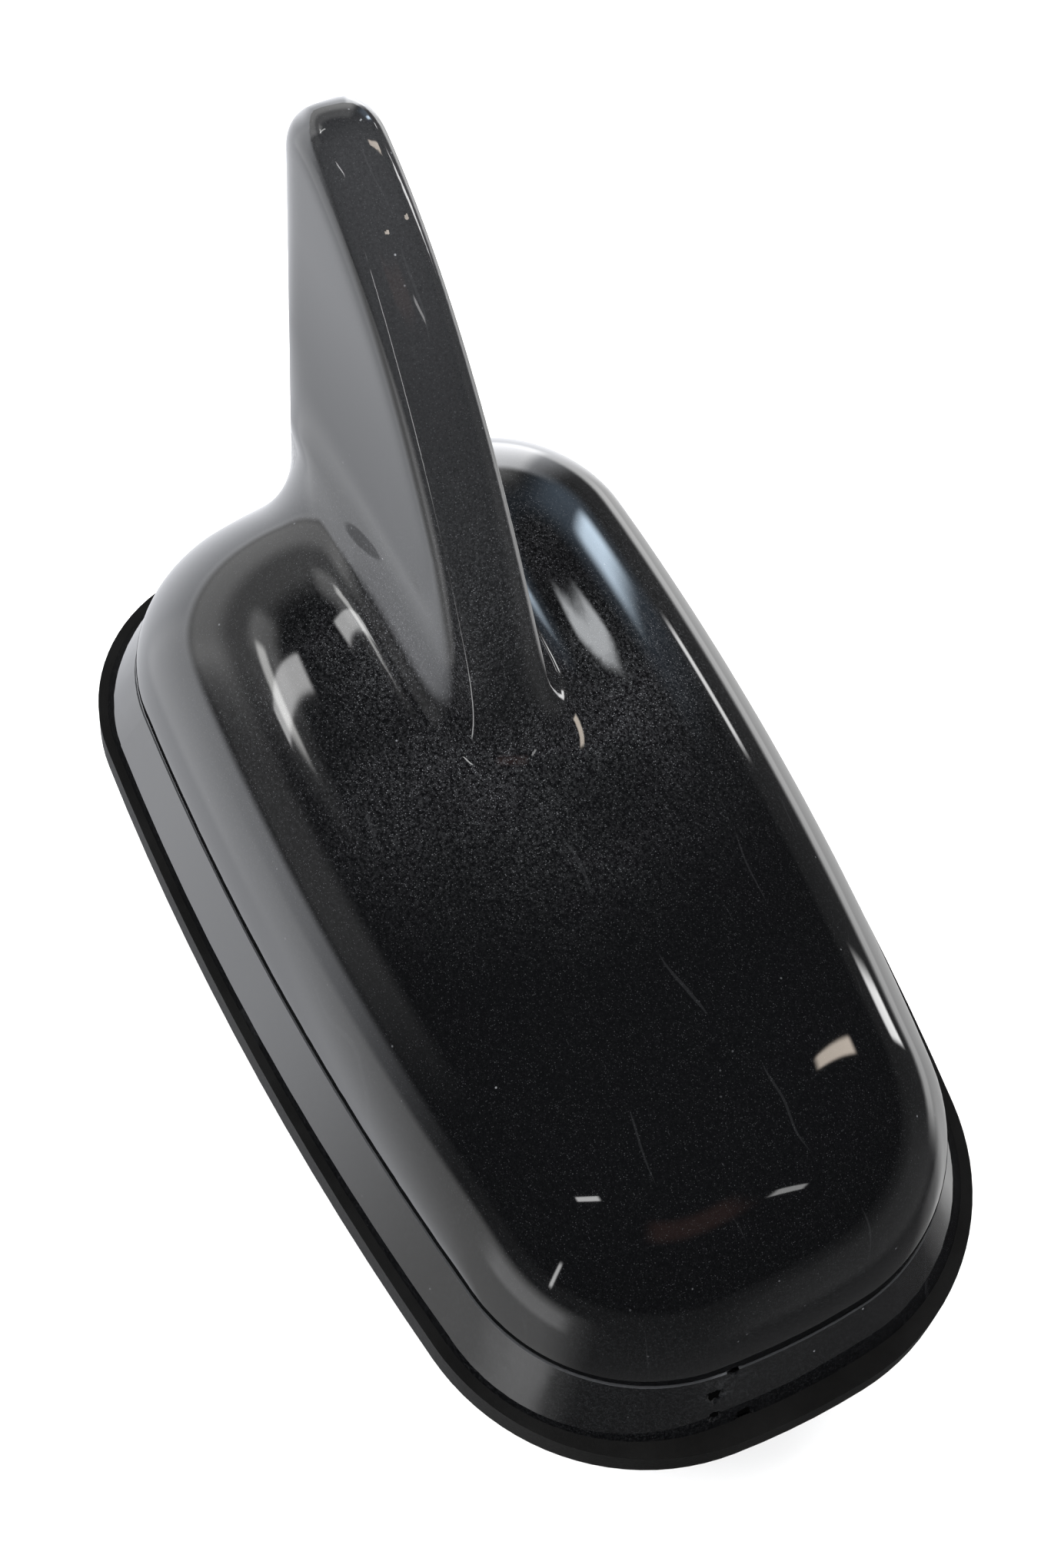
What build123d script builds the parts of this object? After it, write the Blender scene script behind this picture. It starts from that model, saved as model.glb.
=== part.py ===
import math
import os

from build123d import *

# Frame: +X to the front of the car, +Z up, origin on the roof seat at the stud axis. All sizes in mm.

# Plan of the cover's lower edge: two bowed sides, a bowed front and a bowed rear, rounded corners
front_reach = 53.6        # front end of the cover from the stud axis
rear_reach = 51.4         # rear end of the cover from the stud axis
half_width = 30.5         # at the widest place
widest_x = -14.0
front_bow = 4.2           # the front end bows out by this much between its corners
rear_bow = 5.6
front_taper = 5.9         # the sides close in by this much towards the front corners
rear_taper = 1.9
front_corner_radius = 20.8
rear_corner_radius = 17.0

# Heights above the roof
seal_height = 3.7         # roof to the cover's lower edge
groove_height = 10.6      # the fine line round the skirt
top_height = 27.4         # top of the plinth

# Skirt, groove and shoulder
skirt_lean = 2.84         # the skirt leans in by this much up to the groove
corner_loss = 0.6         # corner radius lost for each mm an outline moves in
groove_width = 0.45
groove_depth = 0.4
crown_half_width = 10.66  # half width of the flat top at the widest place
shoulder_angles = (0, 16, 32, 48, 64, 78, 90)
crown_front_radius = 6.6  # corner radii of the flat top
crown_rear_radius = 7.1
wall = 2.2                # cover wall
skirt_edge = 2.4          # width of the cover's lower edge

# Fin: a side profile with a Bezier leading edge, cut from a wedge that gives the thickness
fin_foot = 11.0           # the profile starts at this height, inside the plinth
fin_top = 72.5
fin_setback = 3.5         # foot of the trailing edge ahead of the rear end
fin_length = 54.8         # trailing edge to leading edge, at the foot
fin_overhang = 5.5        # the tip stands this far behind the foot
lead_low_angle = 125.3    # direction of the leading edge at its foot, and how far it keeps it
lead_low_pull = 32.6
lead_high_angle = 172.2   # the same at the tip
lead_high_pull = 27.4
lead_steps = 8
fin_tip_radius = 5.2      # seen from the side
fin_margin = 12.0         # the wedge is larger than the profile by this much
fin_rear_half_low = 5.25  # half thicknesses at the wedge's four ends
fin_front_half_low = 4.1
fin_rear_half_high = 3.7
fin_front_half_high = 3.05
fin_edge_round = 3.0      # round of the leading edge, the tip and the trailing edge
fin_root_round = 6.0
fin_wall = 1.9
fin_inset = 2.6           # cavity behind the profile
fin_cavity_low = 15.0

# Base plate
base_bottom = 1.2
base_top = 3.7
base_inset = 1.9          # base edge behind the cover's lower edge
rim_height = 2.3          # locating rim inside the cover
rim_outer_inset = 4.1
rim_inner_inset = 5.9
key_side = 15.0           # square key that enters the roof hole
key_bottom = -1.2
key_corner = 2.0

# Cover screws, bosses and pads
front_screw_setback = 13.6  # from the cover's front end and from its side
front_screw_inset = 17.5
rear_screw_setback = 15.4
rear_screw_inset = 11.5
boss_radius = 3.0
boss_pilot_depth = 10.0
pad_radius = 4.2
pad_top = 5.2
screw_radius = 1.25
screw_head_radius = 2.8
screw_head_height = 1.6
screw_length = 10.5       # below the head
screw_clear = 0.35
pilot_clear = 0.05
head_clear = 0.25
head_seat = 3.1           # counterbore floor

# Perimeter seal
seal_front_out = 2.1      # the seal stands out from the cover at the front
seal_rear_out = 0.6
seal_side_out = 0.85
seal_front_radius = 23.5
seal_wall_inset = 1.75
lip_inset = 6.6

# Stud, its seal and the cable gland
stud_radius = 6.0         # outside of the thread
stud_bore = 4.0           # way out for the cables
stud_bottom = -18.0
neck_radius = 6.3         # plain neck that locates in the base
stud_chamfer = 0.8
stud_flange_radius = 9.5
stud_flange_top = 5.5
neck_clear = 0.1
ring_inner = 12.0
ring_outer = 17.0
gland_flange_radius = 6.4
gland_flange_height = 1.5
gland_depth = 7.5
gland_seat_radius = 4.5   # widened top of the stud's bore
gland_clear = 0.1
gland_hole_radius = 1.3
gland_hole_offset = 2.1
gland_hole_count = 3

# Main board and its standoffs
board_bottom = 8.0
board_thick = 1.6
board_inset = 7.4
board_boss_clear = 1.0
front_standoff_setback = 9.6
middle_standoff_x = -2.0
middle_standoff_inset = 10.5
rear_standoff_setback = 9.9
rear_standoff_y = 10.5
standoff_radius = 2.6
board_screw_radius = 0.95
board_screw_head = 1.9
board_screw_head_height = 1.3
board_screw_reach = 4.2   # depth of its hole in the standoff
board_screw_spare = 0.4   # hole below the screw's point
board_hole_clear = 0.15

# Satellite patch
patch_setback = 32.1      # centre of the patch behind the cover's front end
patch_side = 25.0
patch_pad_thick = 0.5
patch_thick = 4.0
electrode_side = 20.0
electrode_thick = 0.1
feed_offset = 2.0
feed_radius = 0.4
feed_hole_radius = 0.6
feed_head_radius = 1.0
feed_head_height = 0.3
feed_below = 0.4

# Shield
shield_x = -8.0
shield_inset = 18.5       # its centre inside the cover's side
shield_length = 16.0
shield_width = 11.0
shield_sheet = 0.25
shield_frame_height = 2.4
shield_lid_drop = 2.0
shield_clear = 0.1

# Chips: offset from the shield's centre, length, width, height
chip_sizes = ((-2.5, 0.0, 5.0, 5.0, 1.0), (3.5, 0.0, 3.0, 3.0, 0.9), (-2.0, -25.0, 4.0, 5.0, 1.2))

# Cable sockets under the board
socket_places = ((14.0, 8.0), (14.0, -8.0), (-14.0, 8.0))
socket_radius = 2.2
socket_height = 2.6
socket_bore = 1.2

# Phone blade in the fin; its sloping edge runs parallel to the fin's leading edge
blade_rear_gap = 4.2      # blade ahead of the foot of the trailing edge
blade_length = 29.0
blade_bottom = 12.0
blade_step = 24.0         # top of its upright front edge
blade_gap = 9.0           # sloping edge behind the leading edge
blade_half = 0.4
foil_thick = 0.1
foil_inset = 1.5
holder_rear_gap = 1.0     # holder's ends inside the blade's ends
holder_front_gap = 4.5
holder_half = 4.0
holder_top = 17.0
holder_slot_half = 0.6
contact_setbacks = (3.4, 1.6)
contact_width = 1.0
contact_sheet = 0.3
contact_foot = 2.2
contact_height = 5.5

# Places that follow from the sizes above
shoulder_reach = half_width - skirt_lean - crown_half_width
board_top = board_bottom + board_thick
shield_y = half_width - shield_inset
patch_x = front_reach - patch_setback
fin_rear = fin_setback - rear_reach
blade_rear = fin_rear + blade_rear_gap
blade_front = blade_rear + blade_length
screw_places = [(x, side * y) for side in (1, -1)
                for x, y in ((front_reach - front_screw_setback, half_width - front_screw_inset),
                             (rear_screw_setback - rear_reach, half_width - rear_screw_inset))]
standoff_places = [(front_reach - front_standoff_setback, 0.0),
                   (middle_standoff_x, half_width - middle_standoff_inset),
                   (middle_standoff_x, middle_standoff_inset - half_width),
                   (rear_standoff_setback - rear_reach, rear_standoff_y)]


def circle_through(a, b, c):
    # centre and radius of the circle through three points
    d = 2 * (a[0] * (b[1] - c[1]) + b[0] * (c[1] - a[1]) + c[0] * (a[1] - b[1]))
    sa, sb, sc = a[0] ** 2 + a[1] ** 2, b[0] ** 2 + b[1] ** 2, c[0] ** 2 + c[1] ** 2
    x = (sa * (b[1] - c[1]) + sb * (c[1] - a[1]) + sc * (a[1] - b[1])) / d
    y = (sa * (c[0] - b[0]) + sb * (a[0] - c[0]) + sc * (b[0] - a[0])) / d
    return x, y, math.hypot(a[0] - x, a[1] - y)


def corner_arc(one, two, radius, near):
    # arc of the given radius inside both circles, close to the point near: start, middle, end
    r1, r2 = one[2] - radius, two[2] - radius
    dx, dy = two[0] - one[0], two[1] - one[1]
    gap = math.hypot(dx, dy)
    along = (r1 * r1 - r2 * r2 + gap * gap) / (2 * gap)
    across = math.sqrt(r1 * r1 - along * along)
    ux, uy = dx / gap, dy / gap
    centres = [(one[0] + along * ux + k * across * uy, one[1] + along * uy - k * across * ux)
               for k in (1, -1)]
    fx, fy = min(centres, key=lambda c: math.hypot(c[0] - near[0], c[1] - near[1]))
    ends = []
    for x, y, r in (one, two):
        k = r / math.hypot(fx - x, fy - y)
        ends.append((x + (fx - x) * k, y + (fy - y) * k))
    mx, my = (ends[0][0] + ends[1][0]) / 2 - fx, (ends[0][1] + ends[1][1]) / 2 - fy
    k = radius / math.hypot(mx, my)
    return ends[0], (fx + mx * k, fy + my * k), ends[1]


def flip(point):
    return point[0], -point[1]


def shrunk(circle, inset):
    return circle[0], circle[1], circle[2] - inset


def outline(inset, rear_radius, front_radius, front_out=0.0, rear_out=0.0, side_out=0.0):
    # one closed face; the inset moves all four arcs in, the outs move single ends out
    width = half_width + side_out
    front_end = (front_reach - front_bow + front_out, width - front_taper)
    rear_end = (rear_bow - rear_reach - rear_out, width - rear_taper)
    middle = (widest_x, width)
    side = shrunk(circle_through(rear_end, middle, front_end), inset)
    front = shrunk(circle_through(front_end, (front_reach + front_out, 0), flip(front_end)), inset)
    rear = shrunk(circle_through(rear_end, (-rear_reach - rear_out, 0), flip(rear_end)), inset)
    a, b, c = corner_arc(front, side, front_radius, (front_end[0] - inset, front_end[1] - inset))
    d, e, f = corner_arc(side, rear, rear_radius, (rear_end[0] + inset, rear_end[1] - inset))
    half = [(a, b, c), (c, (side[0], side[1] + side[2]), d), (d, e, f)]
    arcs = [ThreePointArc(flip(a), (front[0] + front[2], 0), a)] + [ThreePointArc(*q) for q in half]
    arcs.append(ThreePointArc(f, (rear[0] - rear[2], 0), flip(f)))
    arcs += [ThreePointArc(flip(r), flip(q), flip(p)) for p, q, r in reversed(half)]
    return make_face(arcs)


def inner_outline(inset):
    loss = corner_loss * inset
    return outline(inset, rear_corner_radius - loss, front_corner_radius - loss)


def slab(inset, low, high):
    return extrude(Pos(0, 0, low) * inner_outline(inset), high - low)


def pillow(inset, reach, high):
    # rounded plinth above the groove, lofted through elliptic shoulder sections
    sections = []
    rear_start = rear_corner_radius - corner_loss * inset
    front_start = front_corner_radius - corner_loss * inset
    for angle in shoulder_angles:
        share = 1 - math.cos(math.radians(angle))
        rise = (high - groove_height) * math.sin(math.radians(angle))
        rear = rear_start + (crown_rear_radius - rear_start) * share
        front = front_start + (crown_front_radius - front_start) * share
        sections.append(Pos(0, 0, groove_height + rise) * outline(inset + reach * share, rear, front))
    return loft(sections)


def skirt(inset_low, inset_high):
    low = Pos(0, 0, seal_height) * inner_outline(inset_low)
    return loft([low, Pos(0, 0, groove_height) * inner_outline(inset_high)], ruled=True)


def lead_edge(inset):
    # points along the leading edge, or along the parallel curve at the given distance inside the fin
    foot, tip = (fin_rear + fin_length, fin_foot), (fin_rear - fin_overhang, fin_top)
    low, high = math.radians(lead_low_angle), math.radians(lead_high_angle)
    near_foot = (foot[0] + lead_low_pull * math.cos(low), foot[1] + lead_low_pull * math.sin(low))
    near_tip = (tip[0] - lead_high_pull * math.cos(high), tip[1] - lead_high_pull * math.sin(high))
    curve = Bezier(foot, near_foot, near_tip, tip)
    points = []
    for i in range(lead_steps + 1):
        at, along = curve.position_at(i / lead_steps), curve.tangent_at(i / lead_steps)
        points.append((at.X - along.Y * inset, at.Y + along.X * inset))
    return points


def fin_profile(inset):
    # side view of the fin; a positive inset gives the parallel profile of its cavity
    lead = lead_edge(inset)
    rise = fin_top - fin_foot
    foot = (fin_rear + inset * math.hypot(rise, fin_overhang) / rise, fin_foot)
    top = (foot[0] - (lead[-1][1] - fin_foot) * fin_overhang / rise, lead[-1][1])
    face = make_face([Spline(*lead[:-1], top), Line(top, foot), Line(foot, lead[0])])
    return fillet(face.vertices().sort_by(Axis.Y)[-1], fin_tip_radius - inset)


def fin_blank(profile, thinner):
    # side profile cut from a wedge that is thinner at the top and at the front
    rear_x, front_x = fin_rear - fin_margin, fin_rear + fin_length + fin_margin
    faces = []
    for z, rear, front in ((fin_foot, fin_rear_half_low, fin_front_half_low),
                           (fin_top + fin_margin, fin_rear_half_high, fin_front_half_high)):
        r, f = rear - thinner, front - thinner
        corners = ((rear_x, -r), (front_x, -f), (front_x, f), (rear_x, r))
        faces.append(Pos(0, 0, z) * make_face(Polyline(*corners, close=True)))
    wedge = loft(faces, ruled=True)
    return extrude(Plane.XZ.offset(-fin_margin) * profile, 2 * fin_margin) & wedge


def fin():
    blank = fin_blank(fin_profile(0.0), 0.0)
    rim = [e for e in blank.edges() if e.bounding_box().size.Z > e.bounding_box().size.Y]
    return fillet(rim, fin_edge_round)


def fin_cavity():
    blank = fin_blank(fin_profile(fin_inset), fin_wall)
    return split(blank, Plane.XY.offset(fin_cavity_low), keep=Keep.TOP)


def outer_body():
    plinth = skirt(0.0, skirt_lean) + pillow(skirt_lean, shoulder_reach, top_height)
    blade = fin()
    body = plinth + blade
    return fillet(new_edges(plinth, blade, combined=body), fin_root_round)


def groove_ring():
    low, high = groove_height - groove_width / 2, groove_height + groove_width / 2
    return slab(0.0, low, high) - slab(skirt_lean + groove_depth, low, high)


def cover():
    body = outer_body()
    hollow = skirt(skirt_edge, skirt_lean + wall)
    hollow += pillow(skirt_lean + wall, shoulder_reach - wall, top_height - wall)
    shell = body - hollow - fin_cavity()
    for x, y in screw_places:
        boss = extrude(Pos(x, y, pad_top) * Circle(boss_radius), top_height) & body
        pilot = extrude(Pos(x, y, pad_top) * Circle(screw_radius + pilot_clear), boss_pilot_depth)
        shell = shell + boss - pilot
    return shell - groove_ring()


def base_plate():
    plate = slab(base_inset, base_bottom, base_top)
    plate += slab(rim_outer_inset, base_top, base_top + rim_height) - slab(rim_inner_inset, base_top,
                                                                           base_top + rim_height)
    key = Pos(0, 0, key_bottom) * RectangleRounded(key_side, key_side, key_corner)
    plate += extrude(key, base_top - key_bottom)
    for x, y in standoff_places:
        plate += extrude(Pos(x, y, base_bottom) * Circle(standoff_radius), board_bottom - base_bottom)
        pilot = Pos(x, y, board_bottom - board_screw_reach) * Circle(board_screw_radius + pilot_clear)
        plate -= extrude(pilot, board_screw_reach)
    for x, y in screw_places:
        plate += extrude(Pos(x, y, base_bottom) * Circle(pad_radius), pad_top - base_bottom)
        plate -= extrude(Pos(x, y, base_bottom) * Circle(screw_radius + screw_clear), pad_top - base_bottom)
        counterbore = Pos(x, y, base_bottom) * Circle(screw_head_radius + head_clear)
        plate -= extrude(counterbore, head_seat - base_bottom)
    return plate - extrude(Pos(0, 0, key_bottom) * Circle(neck_radius + neck_clear), base_top - key_bottom)


def perimeter_seal():
    outer = outline(0.0, rear_corner_radius, seal_front_radius, seal_front_out, seal_rear_out, seal_side_out)
    ring = extrude(outer, seal_height) - slab(lip_inset, 0, seal_height)
    return ring - slab(seal_wall_inset, base_bottom, seal_height)


def stud_seal():
    return extrude(Circle(ring_outer) - Circle(ring_inner), base_bottom)


def mounting_stud():
    shank = extrude(Pos(0, 0, stud_bottom) * Circle(stud_radius), key_bottom - stud_bottom)
    shank = chamfer(shank.edges().sort_by(Axis.Z)[0], stud_chamfer)
    shank += extrude(Pos(0, 0, key_bottom) * Circle(neck_radius), base_top - key_bottom)
    flange = extrude(Pos(0, 0, base_top) * Circle(stud_flange_radius), stud_flange_top - base_top)
    bore = extrude(Pos(0, 0, stud_bottom) * Circle(stud_bore), stud_flange_top - stud_bottom)
    seat = extrude(Pos(0, 0, stud_flange_top - gland_depth) * Circle(gland_seat_radius), gland_depth)
    return shank + flange - bore - seat


def cable_gland():
    low = stud_flange_top - gland_depth
    body = extrude(Pos(0, 0, low) * Circle(gland_seat_radius - gland_clear), gland_depth)
    body += extrude(Pos(0, 0, stud_flange_top) * Circle(gland_flange_radius), gland_flange_height)
    for i in range(gland_hole_count):
        turn = math.radians(90 + 360 * i / gland_hole_count)
        at = Pos(gland_hole_offset * math.cos(turn), gland_hole_offset * math.sin(turn), low)
        body -= extrude(at * Circle(gland_hole_radius), gland_depth + gland_flange_height)
    return body


def main_board():
    board = slab(board_inset, board_bottom, board_top)
    for x, y in screw_places:
        board -= extrude(Pos(x, y, board_bottom) * Circle(boss_radius + board_boss_clear), board_thick)
    for x, y in standoff_places:
        board -= extrude(Pos(x, y, board_bottom) * Circle(board_screw_radius + board_hole_clear), board_thick)
    feed_hole = Pos(patch_x - feed_offset, 0, board_bottom) * Circle(feed_hole_radius)
    return board - extrude(feed_hole, board_thick)


def patch_layer(side, low, thick):
    hole = Pos(-feed_offset, 0) * Circle(feed_hole_radius)
    return extrude(Pos(patch_x, 0, low) * (Rectangle(side, side) - hole), thick)


def patch_feed_pin():
    top = board_top + patch_pad_thick + patch_thick + electrode_thick
    low = board_bottom - feed_below
    at = patch_x - feed_offset
    pin = extrude(Pos(at, 0, low) * Circle(feed_radius), top - low)
    return pin + extrude(Pos(at, 0, top) * Circle(feed_head_radius), feed_head_height)


def shield_frame():
    ring = Rectangle(shield_length, shield_width)
    ring -= Rectangle(shield_length - 2 * shield_sheet, shield_width - 2 * shield_sheet)
    return extrude(Pos(shield_x, shield_y, board_top) * ring, shield_frame_height)


def shield_can():
    grow = 2 * shield_clear
    inner = Rectangle(shield_length + grow, shield_width + grow)
    outer = Rectangle(shield_length + grow + 2 * shield_sheet, shield_width + grow + 2 * shield_sheet)
    top = board_top + shield_frame_height
    can = extrude(Pos(shield_x, shield_y, top - shield_lid_drop) * outer, shield_lid_drop + shield_sheet)
    return can - extrude(Pos(shield_x, shield_y, top - shield_lid_drop) * inner, shield_lid_drop)


def board_chips():
    return Compound([Pos(shield_x + x, shield_y + y, board_top + h / 2) * Box(a, b, h)
                     for x, y, a, b, h in chip_sizes])


def cable_sockets():
    ring = Circle(socket_radius) - Circle(socket_bore)
    return Compound([extrude(Pos(x, y, board_bottom - socket_height) * ring, socket_height)
                     for x, y in socket_places])


def blade_face():
    slope = [p for p in lead_edge(blade_gap) if blade_rear < p[0] < blade_front and p[1] > blade_step]
    corners = [(blade_rear, blade_bottom), (blade_front, blade_bottom), (blade_front, blade_step)]
    return make_face(Polyline(*corners, *slope, (blade_rear, slope[-1][1]), close=True))


def phone_blade():
    return extrude(Plane.XZ.offset(-blade_half) * blade_face(), 2 * blade_half)


def blade_radiator():
    face = offset(blade_face(), -foil_inset, kind=Kind.INTERSECTION)
    return extrude(Plane.XZ.offset(blade_half) * face, foil_thick)


def blade_holder():
    rear, front = blade_rear + holder_rear_gap, blade_front - holder_front_gap
    length, mid = front - rear, (front + rear) / 2
    block = extrude(Pos(mid, 0, board_top) * Rectangle(length, 2 * holder_half), holder_top - board_top)
    slot = Rectangle(length, 2 * holder_slot_half)
    return block - extrude(Pos(mid, 0, blade_bottom) * slot, holder_top - blade_bottom)


def blade_contacts():
    face_y = -blade_half - foil_thick
    corner = (Align.CENTER, Align.MAX, Align.MIN)
    clips = []
    for setback in contact_setbacks:
        foot = Box(contact_width, contact_foot, contact_sheet, align=corner)
        leg = Box(contact_width, contact_sheet, contact_height, align=corner)
        clips.append(Pos(blade_front - setback, face_y, board_top) * (foot + leg))
    return Compound(clips)


def screws(places, seat, radius, length, head_radius, head_height, up):
    # up is 1 for a screw driven upwards from below, -1 for one driven down
    made = []
    for x, y in places:
        low, high = sorted((seat, seat + up * length))
        shank = extrude(Pos(x, y, low) * Circle(radius), high - low)
        low, high = sorted((seat, seat - up * head_height))
        made.append(shank + extrude(Pos(x, y, low) * Circle(head_radius), high - low))
    return Compound(made)


def main():
    os.makedirs("parts", exist_ok=True)
    ceramic_low = board_top + patch_pad_thick
    board_screw_length = board_thick + board_screw_reach - board_screw_spare
    nodes = {
        "cover": cover(),
        "base_plate": base_plate(),
        "perimeter_seal": perimeter_seal(),
        "stud_seal": stud_seal(),
        "mounting_stud": mounting_stud(),
        "cable_gland": cable_gland(),
        "main_board": main_board(),
        "patch_pad": patch_layer(patch_side, board_top, patch_pad_thick),
        "patch_ceramic": patch_layer(patch_side, ceramic_low, patch_thick),
        "patch_electrode": patch_layer(electrode_side, ceramic_low + patch_thick, electrode_thick),
        "patch_feed_pin": patch_feed_pin(),
        "shield_frame": shield_frame(),
        "shield_can": shield_can(),
        "board_chips": board_chips(),
        "cable_sockets": cable_sockets(),
        "phone_blade": phone_blade(),
        "blade_radiator": blade_radiator(),
        "blade_holder": blade_holder(),
        "blade_contacts": blade_contacts(),
        "cover_screws": screws(screw_places, head_seat, screw_radius, screw_length, screw_head_radius,
                               screw_head_height, 1),
        "board_screws": screws(standoff_places, board_top, board_screw_radius, board_screw_length,
                               board_screw_head, board_screw_head_height, -1),
    }
    for name, shape in nodes.items():
        export_step(shape, f"parts/{name}.step")
        print(name, round(shape.volume, 1), len(shape.solids()))


main()
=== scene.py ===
import heapq
import math

import bmesh
import bpy
import numpy as np
from mathutils import Matrix, Vector, geometry, noise


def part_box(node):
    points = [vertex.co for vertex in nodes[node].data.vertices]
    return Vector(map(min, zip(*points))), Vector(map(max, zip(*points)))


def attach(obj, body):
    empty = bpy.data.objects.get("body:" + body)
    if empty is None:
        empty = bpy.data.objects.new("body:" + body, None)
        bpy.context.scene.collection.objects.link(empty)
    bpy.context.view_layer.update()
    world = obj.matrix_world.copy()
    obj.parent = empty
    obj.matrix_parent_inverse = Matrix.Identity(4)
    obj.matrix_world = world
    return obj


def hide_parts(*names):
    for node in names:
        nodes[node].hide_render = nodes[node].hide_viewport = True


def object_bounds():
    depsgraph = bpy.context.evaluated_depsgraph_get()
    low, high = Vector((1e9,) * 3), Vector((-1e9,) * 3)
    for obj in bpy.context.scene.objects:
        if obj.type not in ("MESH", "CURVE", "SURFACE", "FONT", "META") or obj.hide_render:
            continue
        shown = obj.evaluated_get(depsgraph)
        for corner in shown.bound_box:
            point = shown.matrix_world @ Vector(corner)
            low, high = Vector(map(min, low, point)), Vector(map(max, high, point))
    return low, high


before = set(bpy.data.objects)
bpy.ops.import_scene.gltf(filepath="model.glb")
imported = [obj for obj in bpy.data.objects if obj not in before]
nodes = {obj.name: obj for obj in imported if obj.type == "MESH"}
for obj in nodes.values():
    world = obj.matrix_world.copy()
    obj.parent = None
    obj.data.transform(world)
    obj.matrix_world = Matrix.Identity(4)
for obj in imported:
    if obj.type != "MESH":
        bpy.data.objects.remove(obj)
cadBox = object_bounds()
mm = 0.001
print("frame loaded:", len(nodes), "nodes")


# a socket that takes part in sums; any other node comes from add()
class Wire:
    def __init__(self, tree, socket=None):
        self.tree, self.socket = tree, socket

    def add(self, kind, settings=None, inputs=None, out=0):
        node = self.tree.nodes.new(kind)
        for key, value in (settings or {}).items():
            setattr(node, key, value)
        for key, value in (inputs or {}).items():
            if isinstance(value, Wire):
                self.tree.links.new(value.socket, node.inputs[key])
            else:
                node.inputs[key].default_value = value
        return Wire(self.tree, node.outputs[out])

    def out(self, key):                                # another output of the same node
        return Wire(self.tree, self.socket.node.outputs[key])

    def split(self):                                   # the three parts of a vector or colour
        node = self.add("ShaderNodeSeparateXYZ", None, {0: self}).socket.node
        return [Wire(self.tree, s) for s in node.outputs]

    def sum(self, operation, *values):
        return self.add("ShaderNodeMath", {"operation": operation}, dict(enumerate(values)))

    def __add__(self, other):
        return self.sum("ADD", self, other)

    def __sub__(self, other):
        return self.sum("SUBTRACT", self, other)

    def __rsub__(self, other):
        return self.sum("SUBTRACT", other, self)

    def __mul__(self, other):
        return self.sum("MULTIPLY", self, other)

    def __truediv__(self, other):
        return self.sum("DIVIDE", self, other)

    def __rtruediv__(self, other):
        return self.sum("DIVIDE", other, self)

    def __pow__(self, other):
        return self.sum("POWER", self, other)

    def __abs__(self):
        return self.sum("ABSOLUTE", self)

    __radd__, __rmul__ = __add__, __mul__

    def clip(self):
        return self.add("ShaderNodeClamp", None, {0: self})

    def between(self, low, high):                      # smooth step from 0 at low to 1 at high
        settings = {"interpolation_type": "SMOOTHSTEP"}
        return self.add("ShaderNodeMapRange", settings, {0: self, 1: low, 2: high, 3: 0.0, 4: 1.0})

    def mix(self, first, second):                      # colours, with this socket as the factor
        settings = {"data_type": "RGBA"}
        return self.add("ShaderNodeMix", settings, {0: self, 6: first, 7: second}, out=2)


def grey(value):
    return (value, value, value, 1.0)


class Finish:                                          # one material and its patterns, with lengths in mm
    def __init__(self, name):
        self.material = bpy.data.materials.new(name)
        self.material.use_nodes = True
        self.tree = self.material.node_tree
        self.shader = next(n for n in self.tree.nodes if n.type == "BSDF_PRINCIPLED")
        place = Wire(self.tree).add("ShaderNodeTexCoord", out=3)
        self.place = place.add("ShaderNodeVectorMath", {"operation": "SCALE"}, {0: place, 3: 1 / mm})
        self.x, self.y, self.z = self.place.split()

    def noise(self, size, detail=3.0, rough=0.55, at=None):
        return self.place.add("ShaderNodeTexNoise", None, {
            "Vector": at or self.place, "Scale": 1 / size, "Detail": detail, "Roughness": rough})

    def cells(self, size):                             # distance to the nearest seed; out("Color") is its own
        return self.place.add("ShaderNodeTexVoronoi", None, {"Vector": self.place, "Scale": 1 / size})

    def near(self, point, reach):                      # 1 at the point, 0 past the reach
        ends = {0: self.place, 1: point}
        away = self.place.add("ShaderNodeVectorMath", {"operation": "DISTANCE"}, ends, out=1)
        return 1 - away.between(0.0, reach)

    def bump(self, height, depth):
        inputs = {"Height": height, "Distance": depth * mm, "Strength": 1.0}
        return self.place.add("ShaderNodeBump", None, inputs)

    def done(self, **sockets):
        for key, value in sockets.items():
            socket = self.shader.inputs[key.replace("_", " ")]
            if isinstance(value, Wire):
                self.tree.links.new(value.socket, socket)
            else:
                socket.default_value = value
        return self.material


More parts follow.
